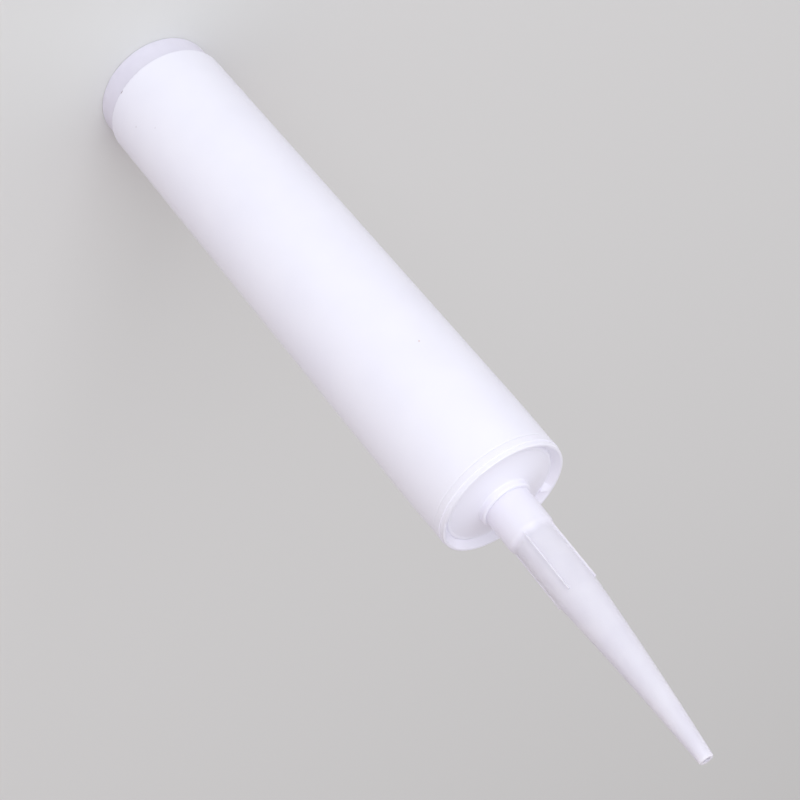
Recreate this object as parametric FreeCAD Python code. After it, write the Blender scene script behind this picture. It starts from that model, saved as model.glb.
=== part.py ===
# Refillable caulk tube: a barrel, a plunger that slides in it, and a nozzle on its spout.
# Millimetres. +Z runs along the barrel from the plunger to the nozzle. z = 0 is the plunger's rear
# rim, on which the tube stands.
import FreeCAD, Part
import math
import os

os.makedirs("parts", exist_ok=True)

V = FreeCAD.Vector
up = V(0, 0, 1)

# Fits
plunger_clearance = 0.05      # radial, a running fit in the bore
travel_clearance = 0.3        # left between plunger and end wall at the end of the stroke
seat_gap = 0.02               # between the boss and the nozzle's collar
thread_room = 0.8             # radial, between the bare spout and the bare collar, where the thread is
spout_end_gap = 0.3           # between the spout's end and the shoulder inside the collar

# Barrel: tube
barrel_radius = 24.0
barrel_wall = 1.1
barrel_length = 215.3         # rear edge to front rim
rear_edge_round = 0.5
rear_bore_chamfer = 0.3       # lead-in for the plunger

# Barrel: the outside near the front
neck_length = 23.2            # stretch over which the outside draws in
neck_drop = 0.35              # how far it draws in
groove_width = 0.8
groove_depth = 0.09
bead_width = 2.2
bead_height = 0.08            # over the neck
bead_round = 0.16
bead_root_round = 0.12
rim_height = 1.8
rim_step = 0.32               # from the bead down to the rim
rim_edge_round = 0.4
rim_inner_round = 0.25

# Barrel: end wall, set back inside the rim
rim_wall = 0.92               # at its edge
recess_depth = 2.35           # rim edge to the foot of the end wall
recess_taper = 2.14           # how far the recess narrows down to that foot
ring_width = 1.2              # low rounded ring round the foot of the recess
ring_height = 0.25
ring_fillet = 0.6
end_wall = 1.5                # thickness along Z
end_wall_rise = 14.2          # degrees, slope towards the boss
boss_ledge = 1.1              # boss beyond the nozzle's collar, which seats on it
boss_height = 2.4             # above the end wall at the boss's side
boss_fillet = 0.5
boss_edge_round = 0.8

# Barrel: lug on the recess's tapered wall, from a steep end to where it fades out
lug_steep_inner = 121.5       # degrees about Z, the steep end at the end wall
lug_steep_outer = 125.5       # and at the rim
lug_fade_inner = 132.0
lug_fade_outer = 129.0
lug_reach = 0.8               # past the foot of the wall, at its steep end
lug_height = 1.3              # over the foot of the wall, at its steep end
lug_setback = 0.15            # below the rim's edge
lug_round = 0.2               # at its steep end and along its inner edge

# Spout, which stands off the barrel's axis with its boss
spout_offset = 0.5            # towards +X
spout_radius = 6.1            # at the root of the thread
spout_wall = 1.2
spout_foot_fillet = 0.4
spout_end_chamfer = 0.5

# Plunger
plunger_proud = 9.7           # how far its skirt stands out of the barrel
plunger_skirt = 22.0          # rear rim to front shoulder
plunger_wall = 1.4
plunger_head = 1.6            # thickness along Z
plunger_nose_radius = 5.5     # flat middle of the head
plunger_rim_round = 0.45
plunger_shoulder_round = 0.6
plunger_inner_fillet = 1.2

# Nozzle
collar_wall = 1.4
collar_length = 12.9          # its straight outside
collar_slope = 2.2            # stretch over which its outside draws in to the stem
collar_slope_round = 3.0
collar_rear_round = 0.05
collar_lead_chamfer = 0.4
shoulder_depth = 0.5          # from the end of that straight outside back to the shoulder inside it
stem_step = 1.11              # from the collar's outside down to the stem's
stem_length = 22.9            # straight stretch before the cone
stem_wall = 1.17
rib_height = 0.66             # over the stem
rib_foot_width = 0.75         # across, at the stem's surface
rib_crest_width = 0.45
rib_length = 24.5             # from where the collar starts to draw in
rib_round = 0.18
rib_count = 4
rib_turn = 10.0               # degrees about Z of the first rib
cone_length = 64.0
tip_radius = 2.42
tip_bore = 1.3
tip_land = 0.4                # short tapered end
tip_land_drop = 0.25

# The nozzle is warped: it leans towards +X above its seat, and its cone bows further that way
lean = 1.22                   # degrees
bow_radius = 1430.0

# Worked out from the above
bore_radius = barrel_radius - barrel_wall
barrel_rear = plunger_proud
barrel_front = barrel_rear + barrel_length
neck_radius = barrel_radius - neck_drop
bead_radius = neck_radius + bead_height
rim_radius = bead_radius - rim_step
recess_radius = rim_radius - rim_wall
rise = math.tan(math.radians(end_wall_rise))
recess_foot = barrel_front - recess_depth
foot_radius = recess_radius - recess_taper
ring_front = recess_foot + ring_width * rise
collar_bore = spout_radius + thread_room
collar_radius = collar_bore + collar_wall
boss_radius = collar_radius + boss_ledge
boss_foot = recess_foot + (foot_radius - boss_radius) * rise
boss_top = boss_foot + boss_height
spout_bore = spout_radius - spout_wall
cavity_front = recess_foot - end_wall - (bore_radius - foot_radius) * rise
plunger_radius = bore_radius - plunger_clearance
plunger_travel = cavity_front - travel_clearance - plunger_skirt
collar_rear = boss_top + seat_gap
collar_end = collar_rear + collar_length
collar_shoulder = collar_end - shoulder_depth
spout_top = collar_shoulder - spout_end_gap
stem_radius = collar_radius - stem_step
rib_radius = stem_radius + rib_height


def line(a, b):
    """Straight profile edge between two (radius, z) points."""
    return Part.makeLine(V(a[0], 0, a[1]), V(b[0], 0, b[1]))


def arc(a, middle, b):
    """Profile arc through three (radius, z) points."""
    return Part.Arc(V(a[0], 0, a[1]), V(middle[0], 0, middle[1]), V(b[0], 0, b[1])).toShape()


def outline(points):
    """Straight profile edges through the points in turn."""
    return [line(a, b) for a, b in zip(points, points[1:])]


def revolved(edges):
    """Solid of revolution about Z from a closed profile in the XZ plane."""
    return Part.Face(Part.Wire(edges)).revolve(V(0, 0, 0), up, 360)


def rings(solid, radius, z):
    """Circular edges about Z of that radius at that height."""
    found = []
    for edge in solid.Edges:
        if not isinstance(edge.Curve, Part.Circle):
            continue
        if abs(edge.Curve.Radius - radius) < 1e-4 and abs(edge.Curve.Center.z - z) < 1e-4:
            found.append(edge)
    return found


def rounded(solid, size, *places):
    """Fillets the rings at the given (radius, z) places."""
    edges = []
    for radius, z in places:
        edges += rings(solid, radius, z)
    return solid.makeFillet(size, edges)


def chamfered(solid, size, *places):
    """Chamfers the rings at the given (radius, z) places."""
    edges = []
    for radius, z in places:
        edges += rings(solid, radius, z)
    return solid.makeChamfer(size, edges)


def make_tube():
    """Tube, front end and end wall, with a pilot hole where the spout's bore will be."""
    pilot_radius = spout_bore / 2
    bead_front = barrel_front - rim_height
    bead_rear = bead_front - bead_width
    groove_rear = bead_rear - groove_width
    neck_start = groove_rear - neck_length

    neck = arc(
        (barrel_radius, neck_start),
        (barrel_radius - neck_drop / 4, neck_start + neck_length / 2),
        (neck_radius, groove_rear),
    )
    groove = arc(
        (neck_radius, groove_rear),
        (neck_radius - groove_depth, bead_rear - groove_width / 2),
        (bead_radius, bead_rear),
    )
    ring = arc(
        (foot_radius, recess_foot),
        (foot_radius - ring_width / 2, (recess_foot + ring_front) / 2 + ring_height),
        (foot_radius - ring_width, ring_front),
    )
    rim = outline([
        (bead_radius, bead_rear),
        (bead_radius, bead_front),
        (rim_radius, bead_front),
        (rim_radius, barrel_front),
        (recess_radius, barrel_front),
        (foot_radius, recess_foot),
    ])
    inside = outline([
        (foot_radius - ring_width, ring_front),
        (pilot_radius, recess_foot + (foot_radius - pilot_radius) * rise),
        (pilot_radius, cavity_front + (bore_radius - pilot_radius) * rise),
        (bore_radius, cavity_front),
        (bore_radius, barrel_rear),
        (barrel_radius, barrel_rear),
        (barrel_radius, neck_start),
    ])
    tube = revolved([neck, groove] + rim + [ring] + inside)

    tube = rounded(tube, rear_edge_round, (barrel_radius, barrel_rear))
    tube = chamfered(tube, rear_bore_chamfer, (bore_radius, barrel_rear))
    tube = rounded(tube, bead_round, (bead_radius, bead_front))
    tube = rounded(tube, bead_root_round, (rim_radius, bead_front))
    tube = rounded(tube, rim_edge_round, (rim_radius, barrel_front))
    tube = rounded(tube, rim_inner_round, (recess_radius, barrel_front))
    return rounded(tube, ring_fillet, (foot_radius - ring_width, ring_front))


def make_boss_and_spout():
    """Boss with the spout on it, about its own axis, its sloping foot inside the end wall."""
    sunk = boss_foot - end_wall / 2
    sunk_middle = sunk + boss_radius * rise
    solid = revolved(outline([
        (0, sunk_middle),
        (boss_radius, sunk),
        (boss_radius, boss_top),
        (spout_radius, boss_top),
        (spout_radius, spout_top),
        (0, spout_top),
        (0, sunk_middle),
    ]))
    solid = rounded(solid, boss_edge_round, (boss_radius, boss_top))
    solid = rounded(solid, spout_foot_fillet, (spout_radius, boss_top))
    return chamfered(solid, spout_end_chamfer, (spout_radius, spout_top))


def make_lug():
    """Ramp on the recess's tapered wall: steep at one end, fading into the wall at the other."""
    def place(radius, degrees, z):
        angle = math.radians(degrees)
        return V(radius * math.cos(angle), radius * math.sin(angle), z)

    low = recess_foot - end_wall / 2
    high = barrel_front - lug_setback
    sunk = recess_radius + rim_wall / 2
    ledge = recess_radius - 2 * lug_setback
    flush = 0.02

    def section(inner, outer, inner_radius, inner_top):
        inner_foot = place(inner_radius, inner, low)
        outer_foot = place(sunk, outer, low)
        share = (ledge - inner_radius) / (sunk - inner_radius)
        ledge_foot = inner_foot + (outer_foot - inner_foot) * share
        corners = [
            inner_foot,
            outer_foot,
            outer_foot + up * (high - low),
            ledge_foot + up * (high - low),
            inner_foot + up * (inner_top - low),
        ]
        return Part.makePolygon(corners + corners[:1])

    steep = section(lug_steep_inner, lug_steep_outer, foot_radius - lug_reach, recess_foot + lug_height)
    fade = section(lug_fade_inner, lug_fade_outer, foot_radius, recess_foot - flush)
    lug = Part.makeLoft([steep, fade], True, True)
    corner = place(foot_radius - lug_reach, lug_steep_inner, recess_foot + lug_height)
    crest = []
    for edge in lug.Edges:
        if any(vertex.Point.isEqual(corner, 1e-4) for vertex in edge.Vertexes):
            crest.append(edge)
    return lug.makeFillet(lug_round, crest)


def make_barrel():
    offset = V(spout_offset, 0, 0)
    boss = make_boss_and_spout()
    boss.translate(offset)
    barrel = make_tube().fuse(boss).removeSplitter()

    foot = []
    for edge in barrel.Edges:
        box = edge.BoundBox
        about_boss = abs(box.XLength - 2 * boss_radius) < 0.05 and abs(box.Center.x - spout_offset) < 0.05
        if about_boss and abs(box.Center.z - boss_foot) < 0.5:
            foot.append(edge)
    barrel = barrel.makeFillet(boss_fillet, foot)

    bore = Part.makeCylinder(spout_bore, spout_top, offset)
    return barrel.cut(bore).fuse(make_lug())


def make_plunger():
    """Cup open to the rear, with a conical head that matches the barrel's end wall."""
    nose = plunger_skirt + (plunger_radius - plunger_nose_radius) * rise
    cup_radius = plunger_radius - plunger_wall
    cup_front = plunger_skirt - plunger_head + plunger_wall * rise
    cup = revolved(outline([
        (0, nose),
        (plunger_nose_radius, nose),
        (plunger_radius, plunger_skirt),
        (plunger_radius, 0),
        (cup_radius, 0),
        (cup_radius, cup_front),
        (plunger_nose_radius, nose - plunger_head),
        (0, nose - plunger_head),
        (0, nose),
    ]))
    cup = rounded(cup, plunger_rim_round, (plunger_radius, 0), (cup_radius, 0))
    cup = rounded(cup, plunger_shoulder_round, (plunger_radius, plunger_skirt))
    return rounded(cup, plunger_inner_fillet, (cup_radius, cup_front))


def leaned(shape):
    """Takes a shape from the nozzle's own frame, its rear at the origin, to its place on the boss."""
    shape.rotate(V(0, 0, 0), V(0, 1, 0), lean)
    shape.translate(V(spout_offset, 0, collar_rear))
    return shape


def bow_point(along):
    """Centre and direction on the cone's bowed line, in the nozzle's own frame."""
    turn = along / bow_radius
    cone_rear = collar_length + collar_slope + stem_length
    centre = V(bow_radius * (1 - math.cos(turn)), 0, cone_rear + bow_radius * math.sin(turn))
    direction = V(math.sin(turn), 0, math.cos(turn))
    return centre, direction


def bowed_cone(rear, front, length):
    """Cone between two radii that follows the bowed line."""
    steps = 4
    circles = []
    for step in range(steps + 1):
        share = step / steps
        centre, direction = bow_point(length * share)
        radius = rear + (front - rear) * share
        circles.append(Part.Wire(Part.makeCircle(radius, centre, direction)))
    return Part.makeLoft(circles, True, False)


def make_collar_and_stem():
    """Solid collar that draws in to the stem, leaning but cut square to the boss at its rear."""
    tail = 1.0
    slope_end = collar_length + collar_slope
    stem_end = slope_end + stem_length
    collar = revolved(outline([
        (0, -tail),
        (collar_radius, -tail),
        (collar_radius, collar_length),
        (stem_radius, slope_end),
        (stem_radius, stem_end),
        (0, stem_end),
        (0, -tail),
    ]))
    collar = rounded(collar, collar_slope_round, (collar_radius, collar_length), (stem_radius, slope_end))
    collar = leaned(collar)
    size = 4 * collar_radius
    below = Part.makeBox(size, size, size, V(-size / 2, -size / 2, collar_rear - size))
    collar = collar.cut(below)
    rear_edges = [edge for edge in collar.Edges if edge.BoundBox.ZMax < collar_rear + 0.01]
    return collar.makeFillet(collar_rear_round, rear_edges)


def make_rib(index):
    """Straight rib on the stem, with sloping sides and a rounded crest."""
    sunk = stem_radius - stem_wall / 2
    foot = rib_foot_width / 2
    crest = rib_crest_width / 2
    half = [(sunk, foot), (stem_radius, foot), (rib_radius, crest)]
    section = half + [(x, -y) for x, y in reversed(half)]
    corners = [V(x, y, 0) for x, y in section]
    rib = Part.Face(Part.makePolygon(corners + corners[:1])).extrude(up * rib_length)
    outer = []
    for edge in rib.Edges:
        if all(abs(vertex.Point.x - rib_radius) < 1e-4 for vertex in edge.Vertexes):
            outer.append(edge)
    rib = rib.makeFillet(rib_round, outer)
    rib.rotate(V(0, 0, 0), up, rib_turn + index * 360 / rib_count)
    rib.translate(up * collar_length)
    return rib


def make_nozzle():
    """Collar, ribbed stem and bowed cone, bored right through."""
    land_start, tip_direction = bow_point(cone_length - tip_land)
    cone = bowed_cone(stem_radius, tip_radius, cone_length - tip_land)
    land = Part.makeCone(tip_radius, tip_radius - tip_land_drop, tip_land, land_start, tip_direction)
    outside = [cone, land] + [make_rib(index) for index in range(rib_count)]
    body = make_collar_and_stem().multiFuse([leaned(piece) for piece in outside]).removeSplitter()

    channel_radius = stem_radius - stem_wall
    channel_rear = collar_length - 2 * shoulder_depth
    channel_length = collar_slope + stem_length + 2 * shoulder_depth
    channel = Part.makeCylinder(channel_radius, channel_length, V(0, 0, channel_rear))
    taper = bowed_cone(channel_radius, tip_bore, cone_length - tip_land)
    orifice = Part.makeCylinder(tip_bore, 3 * tip_land, land_start, tip_direction)
    socket_rear = V(spout_offset, 0, collar_rear)
    socket = Part.makeCylinder(collar_bore, collar_shoulder - collar_rear, socket_rear)
    inside = socket.multiFuse([leaned(piece) for piece in (channel, taper, orifice)])
    nozzle = body.cut(inside)
    return chamfered(nozzle, collar_lead_chamfer, (collar_bore, collar_rear))


sub_parts = {
    "barrel": make_barrel(),
    "plunger": make_plunger(),
    "nozzle": make_nozzle(),
}

for name, shape in sub_parts.items():
    print(f"{name}: {len(shape.Solids)} solid, {shape.Volume / 1000:.2f} cm3, valid {shape.isValid()}")
    shape.exportStep(f"parts/{name}.step")

print(f"plunger travel {plunger_travel:.2f}")
print(f"spout inside the collar {spout_top - collar_rear:.2f}")
print(f"neck {neck_radius:.2f}, rim {rim_radius:.2f}, recess {recess_radius:.2f}")
print(f"boss top {boss_top:.2f}, spout top {spout_top:.2f}")
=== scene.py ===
# Refillable caulk tube: a moulded barrel, the plunger in its rear end and the nozzle screwed on
# its spout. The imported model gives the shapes; this adds the finishes and the screw threads.
from math import radians

import bpy
from mathutils import Matrix, Vector


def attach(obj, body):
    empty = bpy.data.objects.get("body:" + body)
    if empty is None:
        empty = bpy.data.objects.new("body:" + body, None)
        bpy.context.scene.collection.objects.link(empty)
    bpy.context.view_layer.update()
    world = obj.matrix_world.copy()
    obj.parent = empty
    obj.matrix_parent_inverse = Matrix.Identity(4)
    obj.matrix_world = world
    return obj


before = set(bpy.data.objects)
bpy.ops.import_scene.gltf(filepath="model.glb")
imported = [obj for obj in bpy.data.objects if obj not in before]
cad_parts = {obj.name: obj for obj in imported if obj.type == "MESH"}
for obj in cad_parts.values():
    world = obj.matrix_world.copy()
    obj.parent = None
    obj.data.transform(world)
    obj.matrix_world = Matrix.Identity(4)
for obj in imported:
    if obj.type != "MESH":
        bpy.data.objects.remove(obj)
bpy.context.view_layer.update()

mm = 0.001
scene = bpy.context.scene
print("frame loaded:", ", ".join(sorted(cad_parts)))


def hexToLinear(code):
    channels = []
    for start in (0, 2, 4):
        value = int(code[start:start + 2], 16) / 255
        channels.append(value / 12.92 if value <= 0.04045 else ((value + 0.055) / 1.055) ** 2.4)
    return (*channels, 1.0)


def addNode(tree, kind, inputs=None, **settings):
    # an input gets either a fixed value or the output that feeds it
    node = tree.nodes.new(kind)
    for name, value in settings.items():
        setattr(node, name, value)
    for name, value in (inputs or {}).items():
        if isinstance(value, bpy.types.NodeSocket):
            tree.links.new(value, node.inputs[name])
        else:
            node.inputs[name].default_value = value
    return node


# A colour Mix node has several sockets of each name, so they go by number
mixAmount, mixFirst, mixSecond, mixResult = 0, 6, 7, 2

noiseRoughness = 0.55
cloudSpan = (0.35, 0.7)           # the noise values where the colour starts and stops changing
glossSpan = (0.35, 0.65)
markEdge = (0.55, 1.15)           # a mark fades out between these shares of its size


def addMark(tree, place, colour, mark):
    # a small soft-edged blot in an ellipsoid
    centred = addNode(tree, "ShaderNodeMapping", {
        "Location": [value * mm for value in mark["centre"]],
        "Scale": [value * mm for value in mark["size"]],
        "Vector": place,
    }, vector_type="TEXTURE")
    distance = addNode(
        tree, "ShaderNodeVectorMath", {0: centred.outputs["Vector"]}, operation="LENGTH",
    )
    inside = addNode(tree, "ShaderNodeMapRange", {
        "Value": distance.outputs["Value"],
        "From Min": markEdge[0],
        "From Max": markEdge[1],
        "To Min": mark["strength"],
        "To Max": 0.0,
    }, interpolation_type="SMOOTHSTEP")
    return addNode(tree, "ShaderNodeMix", {
        mixAmount: inside.outputs["Result"],
        mixFirst: colour,
        mixSecond: hexToLinear(mark["colour"]),
    }, data_type="RGBA").outputs[mixResult]


def whitenOverSpoutShadeSlope(tree, shader, place, colour, spoutBackingAndSlopeShade):
    # whiter, and with less light going through, where something stands behind the wall; the fade
    # reaches over the collar's sloped front, where the darker stem colour is painted shade that
    # dulls the slope's highlight
    height = addNode(tree, "ShaderNodeSeparateXYZ", {"Vector": place}).outputs["Z"]
    spoutWhiteningAndSlopeShade = addNode(tree, "ShaderNodeMapRange", {
        "Value": height,
        "From Min": (spoutBackingAndSlopeShade["top"] - spoutBackingAndSlopeShade["fade"]) * mm,
        "From Max": (spoutBackingAndSlopeShade["top"] + spoutBackingAndSlopeShade["fade"]) * mm,
        "To Min": 1.0,
        "To Max": 0.0,
    }, interpolation_type="SMOOTHSTEP").outputs["Result"]
    glow = addNode(tree, "ShaderNodeMapRange", {
        "Value": spoutWhiteningAndSlopeShade,
        "To Min": shader.inputs["Subsurface Weight"].default_value,
        "To Max": spoutBackingAndSlopeShade["glow"],
    })
    tree.links.new(glow.outputs["Result"], shader.inputs["Subsurface Weight"])
    return addNode(tree, "ShaderNodeMix", {
        mixAmount: spoutWhiteningAndSlopeShade,
        mixFirst: colour,
        mixSecond: hexToLinear(spoutBackingAndSlopeShade["colour"]),
    }, data_type="RGBA").outputs[mixResult]


def mouldedPlastic(name, plastic):
    material = bpy.data.materials.new(name)
    material.use_nodes = True
    tree = material.node_tree
    shader = tree.nodes["Principled BSDF"]
    shader.inputs["IOR"].default_value = plastic["ior"]
    shader.inputs["Subsurface Weight"].default_value = plastic["glow"]
    shader.inputs["Subsurface Radius"].default_value = (1.0, 1.0, 1.0)
    shader.inputs["Subsurface Scale"].default_value = plastic["glowDepth"] * mm
    place = addNode(tree, "ShaderNodeTexCoord").outputs["Object"]

    # each pattern's blobs are about `size` millimetres across, and drawn out where it is less dense
    patterns = {}
    normal = None
    for label, pattern in plastic["patterns"].items():
        scaled = addNode(tree, "ShaderNodeMapping", {
            "Scale": pattern.get("density", (1.0, 1.0, 1.0)),
            "Vector": place,
        })
        patterns[label] = addNode(tree, "ShaderNodeTexNoise", {
            "Scale": 1 / (pattern["size"] * mm),
            "Detail": pattern["detail"],
            "Roughness": noiseRoughness,
            "Vector": scaled.outputs["Vector"],
        }).outputs["Fac"]
        if "height" in pattern:
            relief = {"Distance": pattern["height"] * mm, "Height": patterns[label]}
            if normal:
                relief["Normal"] = normal
            normal = addNode(tree, "ShaderNodeBump", relief).outputs["Normal"]
    tree.links.new(normal, shader.inputs["Normal"])

    gloss = addNode(tree, "ShaderNodeMapRange", {
        "Value": patterns[plastic["glossPattern"]],
        "From Min": glossSpan[0],
        "From Max": glossSpan[1],
        "To Min": plastic["roughness"][0],
        "To Max": plastic["roughness"][1],
    })
    tree.links.new(gloss.outputs["Result"], shader.inputs["Roughness"])

    thinner = addNode(tree, "ShaderNodeMapRange", {
        "Value": patterns["cloud"], "From Min": cloudSpan[0], "From Max": cloudSpan[1],
    })
    colour = addNode(tree, "ShaderNodeMix", {
        mixAmount: thinner.outputs["Result"],
        mixFirst: hexToLinear(plastic["colour"]),
        mixSecond: hexToLinear(plastic["cloudColour"]),
    }, data_type="RGBA").outputs[mixResult]
    for mark in plastic.get("marks", []):
        colour = addMark(tree, place, colour, mark)
    # whiter over the spout, and painted shade on the collar's slope where it fades
    if "spoutBackingAndSlopeShade" in plastic:
        colour = whitenOverSpoutShadeSlope(tree, shader, place, colour, plastic["spoutBackingAndSlopeShade"])
    tree.links.new(colour, shader.inputs["Base Color"])
    return material


# Barrel: opaque white HDPE, injection moulded in a polished steel mould. The eye sees a clean
# satin skin with the softest unevenness, and faint lines along it where it was pushed off its core.
barrel = {
    "colour": "F2F1FC",
    "cloudColour": "EFEEFA",      # the faintly thinner patches
    "ior": 1.54,
    "glow": 0.12,
    "glowDepth": 0.9,
    "roughness": (0.33, 0.43),
    "glossPattern": "drawLines",
    "patterns": {
        "cloud": {"size": 26.0, "detail": 2.0},
        "waves": {"size": 18.0, "detail": 1.0, "height": 0.03},
        "drawLines": {"size": 0.9, "detail": 1.0, "height": 0.012, "density": (1.0, 1.0, 0.012)},
        # the mould's stipple is about 0.1 mm, drawn coarser so it shows
        "stipple": {"size": 0.7, "detail": 2.0, "height": 0.006},
    },
    "marks": [
        {   # nick on the rear edge, with dirt in it
            "centre": (10.2, -21.45, 9.95), "size": (1.0, 0.8, 0.6),
            "colour": "8C6F76", "strength": 0.9,
        },
        {   # two grey specks near it
            "centre": (14.52, -19.11, 25.2), "size": (0.4, 0.4, 0.34),
            "colour": "A79AA6", "strength": 0.34,
        },
        {
            "centre": (9.39, -22.09, 34.06), "size": (0.34, 0.34, 0.3),
            "colour": "B9B0BC", "strength": 0.3,
        },
        {   # rusty speck nearer the front
            "centre": (-12.0, -20.78, 172.9), "size": (0.42, 0.42, 0.38),
            "colour": "C98F78", "strength": 0.4,
        },
    ],
}

# Plunger: natural LDPE, injection moulded. Without pigment it is a greyish milky wax, softer and
# a little more matt than the barrel, with faint scuffs round it from the bore.
plunger = {
    "colour": "E6E3F1",
    "cloudColour": "E1DEEC",
    "ior": 1.51,
    "glow": 0.45,
    "glowDepth": 2.0,
    "roughness": (0.36, 0.48),
    "glossPattern": "scuffs",
    "patterns": {
        "cloud": {"size": 9.0, "detail": 3.0},
        "scuffs": {"size": 2.2, "detail": 2.0, "density": (0.35, 0.35, 1.0)},
        "stipple": {"size": 0.8, "detail": 2.0, "height": 0.01},
    },
}

# Nozzle: natural LDPE, injection moulded thin, so light goes into it and it looks milky. Its
# collar is thicker and has the white spout in it, so it looks whiter up to the collar's front end;
# the fade to the darker stem colour lies on the collar's sloped front, as painted shade on its
# highlight.
nozzle = {
    "colour": "E8E5F3",
    "cloudColour": "E2DFEE",
    "ior": 1.51,
    "glow": 0.75,
    "glowDepth": 2.6,
    "roughness": (0.34, 0.44),
    "glossPattern": "flowLines",
    "patterns": {
        "cloud": {"size": 12.0, "detail": 2.0},
        "flowLines": {"size": 1.1, "detail": 1.0, "height": 0.01, "density": (1.0, 1.0, 0.05)},
        "stipple": {"size": 0.7, "detail": 2.0, "height": 0.006},
    },
    # the fade's top lies past the spout's end, on the collar's slope: the darker colour there is
    # painted shade
    "spoutBackingAndSlopeShade": {"colour": "EEECF8", "glow": 0.12, "top": 241.2, "fade": 1.8},
}

finishes = {
    "barrel": mouldedPlastic("mouldedHdpeWhite", barrel),
    "plunger": mouldedPlastic("mouldedLdpeNatural", plunger),
    "nozzle": mouldedPlastic("mouldedLdpeMilky", nozzle),
}
for piece, material in finishes.items():
    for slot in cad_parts[piece].material_slots:
        slot.material = material
print("finishes:", ", ".join(material.name for material in finishes.values()))

# Threads: a coarse rounded ridge on the spout, and its mate half a pitch along in the collar
spoutThread = {
    "centreRadius": 6.05,
    "pitch": 3.0,
    "turns": 3.1,
    "ridgeRadius": 0.62,
    "runOut": 0.07,               # share of its length over which each end dies away
    "start": (0.5, 0.0, 229.7),
    "startTurn": 0.6,
}
collarThread = dict(spoutThread, centreRadius=6.95, start=(0.5, 0.0, 231.2), turns=2.7)
stepsPerTurn = 64
ridgeSides = 14
endSize = 0.08                    # how thick the ridge is at its very ends, as a share


def threadTree():
    # one rounded ridge wound about a line beside Z, which runs out into the wall at both ends
    tree = bpy.data.node_groups.new("threadRidge", "GeometryNodeTree")
    sockets = {}
    for name, kind in (
        ("Centre radius", "NodeSocketFloat"),
        ("Pitch", "NodeSocketFloat"),
        ("Turns", "NodeSocketFloat"),
        ("Ridge radius", "NodeSocketFloat"),
        ("Run-out share", "NodeSocketFloat"),
        ("Start", "NodeSocketVector"),
        ("Start turn", "NodeSocketVector"),
        ("Finish", "NodeSocketMaterial"),
    ):
        socket = tree.interface.new_socket(name=name, in_out="INPUT", socket_type=kind)
        sockets[name] = socket.identifier
    tree.interface.new_socket(name="Geometry", in_out="OUTPUT", socket_type="NodeSocketGeometry")

    given = addNode(tree, "NodeGroupInput").outputs
    rise = addNode(
        tree, "ShaderNodeMath", {0: given["Pitch"], 1: given["Turns"]}, operation="MULTIPLY",
    )
    helix = addNode(tree, "GeometryNodeCurveSpiral", {
        "Resolution": stepsPerTurn,
        "Rotations": given["Turns"],
        "Start Radius": given["Centre radius"],
        "End Radius": given["Centre radius"],
        "Height": rise.outputs[0],
        "Reverse": True,          # so it winds right-handed
    })

    along = addNode(tree, "GeometryNodeSplineParameter").outputs["Factor"]
    left = addNode(tree, "ShaderNodeMath", {0: 1.0, 1: along}, operation="SUBTRACT")
    nearEnd = addNode(
        tree, "ShaderNodeMath", {0: along, 1: left.outputs[0]}, operation="MINIMUM",
    )
    swell = addNode(tree, "ShaderNodeMapRange", {
        "Value": nearEnd.outputs[0],
        "From Min": 0.0,
        "From Max": given["Run-out share"],
        "To Min": endSize,
        "To Max": 1.0,
    }, interpolation_type="SMOOTHSTEP")
    sized = addNode(tree, "GeometryNodeSetCurveRadius", {
        "Curve": helix.outputs["Curve"], "Radius": swell.outputs["Result"],
    })

    section = addNode(tree, "GeometryNodeCurvePrimitiveCircle", {
        "Resolution": ridgeSides, "Radius": given["Ridge radius"],
    }, mode="RADIUS")
    ridge = addNode(tree, "GeometryNodeCurveToMesh", {
        "Curve": sized.outputs["Curve"],
        "Profile Curve": section.outputs["Curve"],
        "Fill Caps": True,
    })
    placed = addNode(tree, "GeometryNodeTransform", {
        "Geometry": ridge.outputs["Mesh"],
        "Translation": given["Start"],
        "Rotation": given["Start turn"],
    })
    smooth = addNode(
        tree, "GeometryNodeSetShadeSmooth", {"Geometry": placed.outputs["Geometry"]},
    )
    real = addNode(
        tree, "GeometryNodeRealizeInstances", {"Geometry": smooth.outputs["Geometry"]},
    )
    coated = addNode(tree, "GeometryNodeSetMaterial", {
        "Geometry": real.outputs["Geometry"], "Material": given["Finish"],
    })
    addNode(tree, "NodeGroupOutput", {"Geometry": coated.outputs["Geometry"]})
    return tree, sockets


def makeThread(name, tree, sockets, thread, material):
    values = {
        "Centre radius": thread["centreRadius"] * mm,
        "Pitch": thread["pitch"] * mm,
        "Turns": thread["turns"],
        "Ridge radius": thread["ridgeRadius"] * mm,
        "Run-out share": thread["runOut"],
        "Start": [value * mm for value in thread["start"]],
        "Start turn": (0.0, 0.0, thread["startTurn"]),
        "Finish": material,
    }
    holder = bpy.data.objects.new(name + "Tree", bpy.data.meshes.new(name + "Tree"))
    scene.collection.objects.link(holder)
    modifier = holder.modifiers.new("thread", "NODES")
    modifier.node_group = tree
    for label, value in values.items():
        modifier[sockets[label]] = value
    graph = bpy.context.evaluated_depsgraph_get()
    mesh = bpy.data.meshes.new_from_object(holder.evaluated_get(graph))
    mesh.name = name
    bpy.data.objects.remove(holder)
    piece = bpy.data.objects.new(name, mesh)
    scene.collection.objects.link(piece)
    print(f"{name}: {len(mesh.polygons)} faces")
    return piece


ridgeTree, ridgeSockets = threadTree()
spoutRidge = makeThread("spoutThread", ridgeTree, ridgeSockets, spoutThread, finishes["barrel"])
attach(spoutRidge, "barrel")
collarRidge = makeThread("collarThread", ridgeTree, ridgeSockets, collarThread, finishes["nozzle"])
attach(collarRidge, "nozzle")

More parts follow.
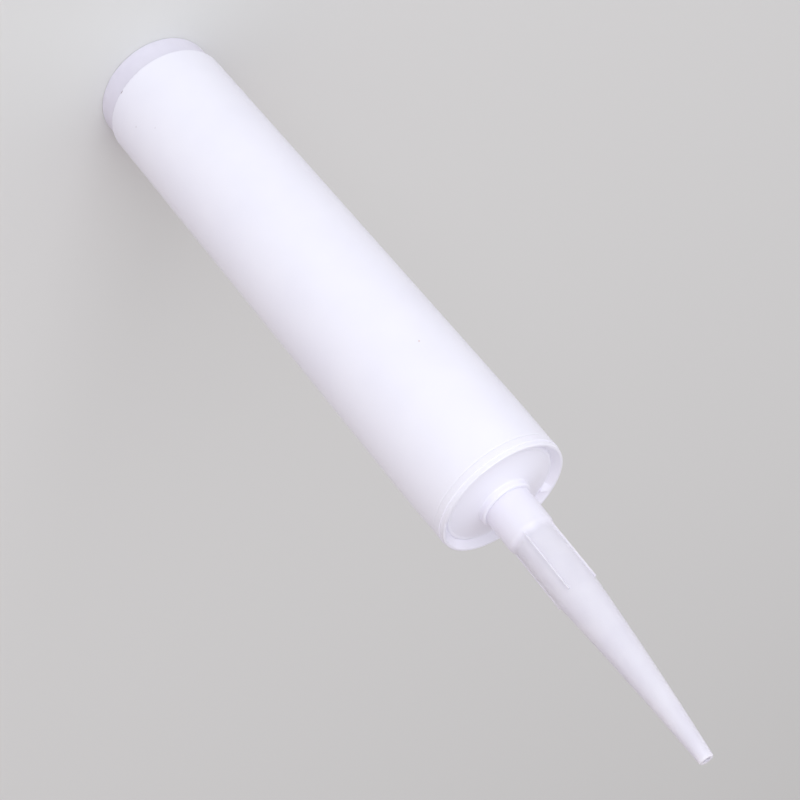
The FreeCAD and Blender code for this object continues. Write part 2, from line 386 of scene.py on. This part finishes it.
# Studio: a wide pale floor under the tube, and pale air all round it
studio = {
    "floorColour": "E0E1DF",
    "floorRoughness": 0.85,
    "floorSpecular": 0.2,
    "floorHalf": 40.0,
    "backdrop": "D2D0CF",
    "fillColour": "FBFDFF",
    "fillBackColour": "FFE8EC",
    "fillFront": 0.86,            # the air is brighter on the camera's side
    "fillBack": 0.32,
    "fillFacing": (-0.3, -0.85, 0.45),
    "fillSpread": 0.75,           # how far round it takes to change, as a cosine
}


def mattPaintedFloor():
    material = bpy.data.materials.new("mattPaintedFloor")
    material.use_nodes = True
    shader = material.node_tree.nodes["Principled BSDF"]
    shader.inputs["Base Color"].default_value = hexToLinear(studio["floorColour"])
    shader.inputs["Roughness"].default_value = studio["floorRoughness"]
    shader.inputs["Specular IOR Level"].default_value = studio["floorSpecular"]
    return material


half = studio["floorHalf"]
floorMesh = bpy.data.meshes.new("studioFloor")
corners = [(-half, -half, 0.0), (half, -half, 0.0), (half, half, 0.0), (-half, half, 0.0)]
floorMesh.from_pydata(corners, [], [(0, 1, 2, 3)])
floorMesh.materials.append(mattPaintedFloor())
floor = bpy.data.objects.new("studioFloor", floorMesh)
scene.collection.objects.link(floor)

world = bpy.data.worlds.new("studioAir")
scene.world = world
world.use_nodes = True
air = world.node_tree
air.nodes.clear()
facing = addNode(air, "ShaderNodeVectorMath", {
    0: addNode(air, "ShaderNodeTexCoord").outputs["Generated"],
    1: Vector(studio["fillFacing"]).normalized(),
}, operation="DOT_PRODUCT")
towards = addNode(air, "ShaderNodeMapRange", {
    "Value": facing.outputs["Value"],
    "From Min": -studio["fillSpread"],
    "From Max": studio["fillSpread"],
}, interpolation_type="SMOOTHSTEP").outputs["Result"]
fillLevel = addNode(air, "ShaderNodeMapRange", {
    "Value": towards, "To Min": studio["fillBack"], "To Max": studio["fillFront"],
})
fillTint = addNode(air, "ShaderNodeMix", {
    mixAmount: towards,
    mixFirst: hexToLinear(studio["fillBackColour"]),
    mixSecond: hexToLinear(studio["fillColour"]),
}, data_type="RGBA")
fill = addNode(air, "ShaderNodeBackground", {
    "Color": fillTint.outputs[mixResult], "Strength": fillLevel.outputs["Result"],
})

# the camera and the gloss see a plain backdrop, and the fill only lights
seen = addNode(air, "ShaderNodeBackground", {"Color": hexToLinear(studio["backdrop"])})
rays = addNode(air, "ShaderNodeLightPath").outputs
straight = addNode(air, "ShaderNodeMath", {
    0: rays["Is Camera Ray"], 1: rays["Is Glossy Ray"],
}, operation="MAXIMUM")
anyStraight = addNode(air, "ShaderNodeMath", {
    0: straight.outputs[0], 1: rays["Is Transmission Ray"],
}, operation="MAXIMUM")
either = addNode(air, "ShaderNodeMixShader", {
    0: anyStraight.outputs[0], 1: fill.outputs[0], 2: seen.outputs[0],
})
addNode(air, "ShaderNodeOutputWorld", {"Surface": either.outputs[0]})
print("studio floor and air made")

lamps = {
    "keySoftbox": {
        "direction": (-0.3, -0.85, 0.5), "distance": 1.3,
        "size": 1.2, "watts": 8.0, "colour": "F9FAFF",
    },
    "warmFill": {
        "direction": (0.95, -0.1, 0.14), "distance": 1.4,
        "size": 0.6, "watts": 1.1, "colour": "FFDCE0",
    },
    "backFill": {
        "direction": (-0.75, 0.6, 0.16), "distance": 1.4,
        "size": 0.6, "watts": 1.0, "colour": "F4F4FF",
    },
}
lampAim = Vector((0.0, 0.0, 0.16))    # half way up the tube
for name, lamp in lamps.items():
    light = bpy.data.lights.new(name, "AREA")
    light.shape = "SQUARE"
    light.size = lamp["size"]
    light.energy = lamp["watts"]
    light.color = hexToLinear(lamp["colour"])[:3]
    direction = Vector(lamp["direction"]).normalized()
    holder = bpy.data.objects.new(name, light)
    holder.location = lampAim + direction * lamp["distance"]
    holder.rotation_euler = direction.to_track_quat("Z", "Y").to_euler()
    scene.collection.objects.link(holder)
print("lamps:", ", ".join(lamps))

# The camera looks down on the standing tube and is rolled, so that the tube lies across the view
# with its nozzle towards the bottom right
camera = {
    "lens": 80.11,
    "sensorWidth": 36.0,
    "clipEnd": 60.0,              # past the floor's corners
    "place": (0.0, -0.5103, 0.4672),
    "aim": (0.005066, 0.0, 0.173025),
    "roll": 139.98,
}
view = bpy.data.cameras.new("tubeCamera")
view.lens = camera["lens"]
view.sensor_width = camera["sensorWidth"]
view.clip_end = camera["clipEnd"]
tubeCamera = bpy.data.objects.new("tubeCamera", view)
scene.collection.objects.link(tubeCamera)
place = Vector(camera["place"])
towardsTube = (Vector(camera["aim"]) - place).to_track_quat("-Z", "Y").to_matrix().to_4x4()
roll = Matrix.Rotation(radians(camera["roll"]), 4, "Z")
tubeCamera.matrix_world = Matrix.Translation(place) @ towardsTube @ roll
scene.camera = tubeCamera
scene.view_settings.view_transform = "Standard"
print("camera placed")
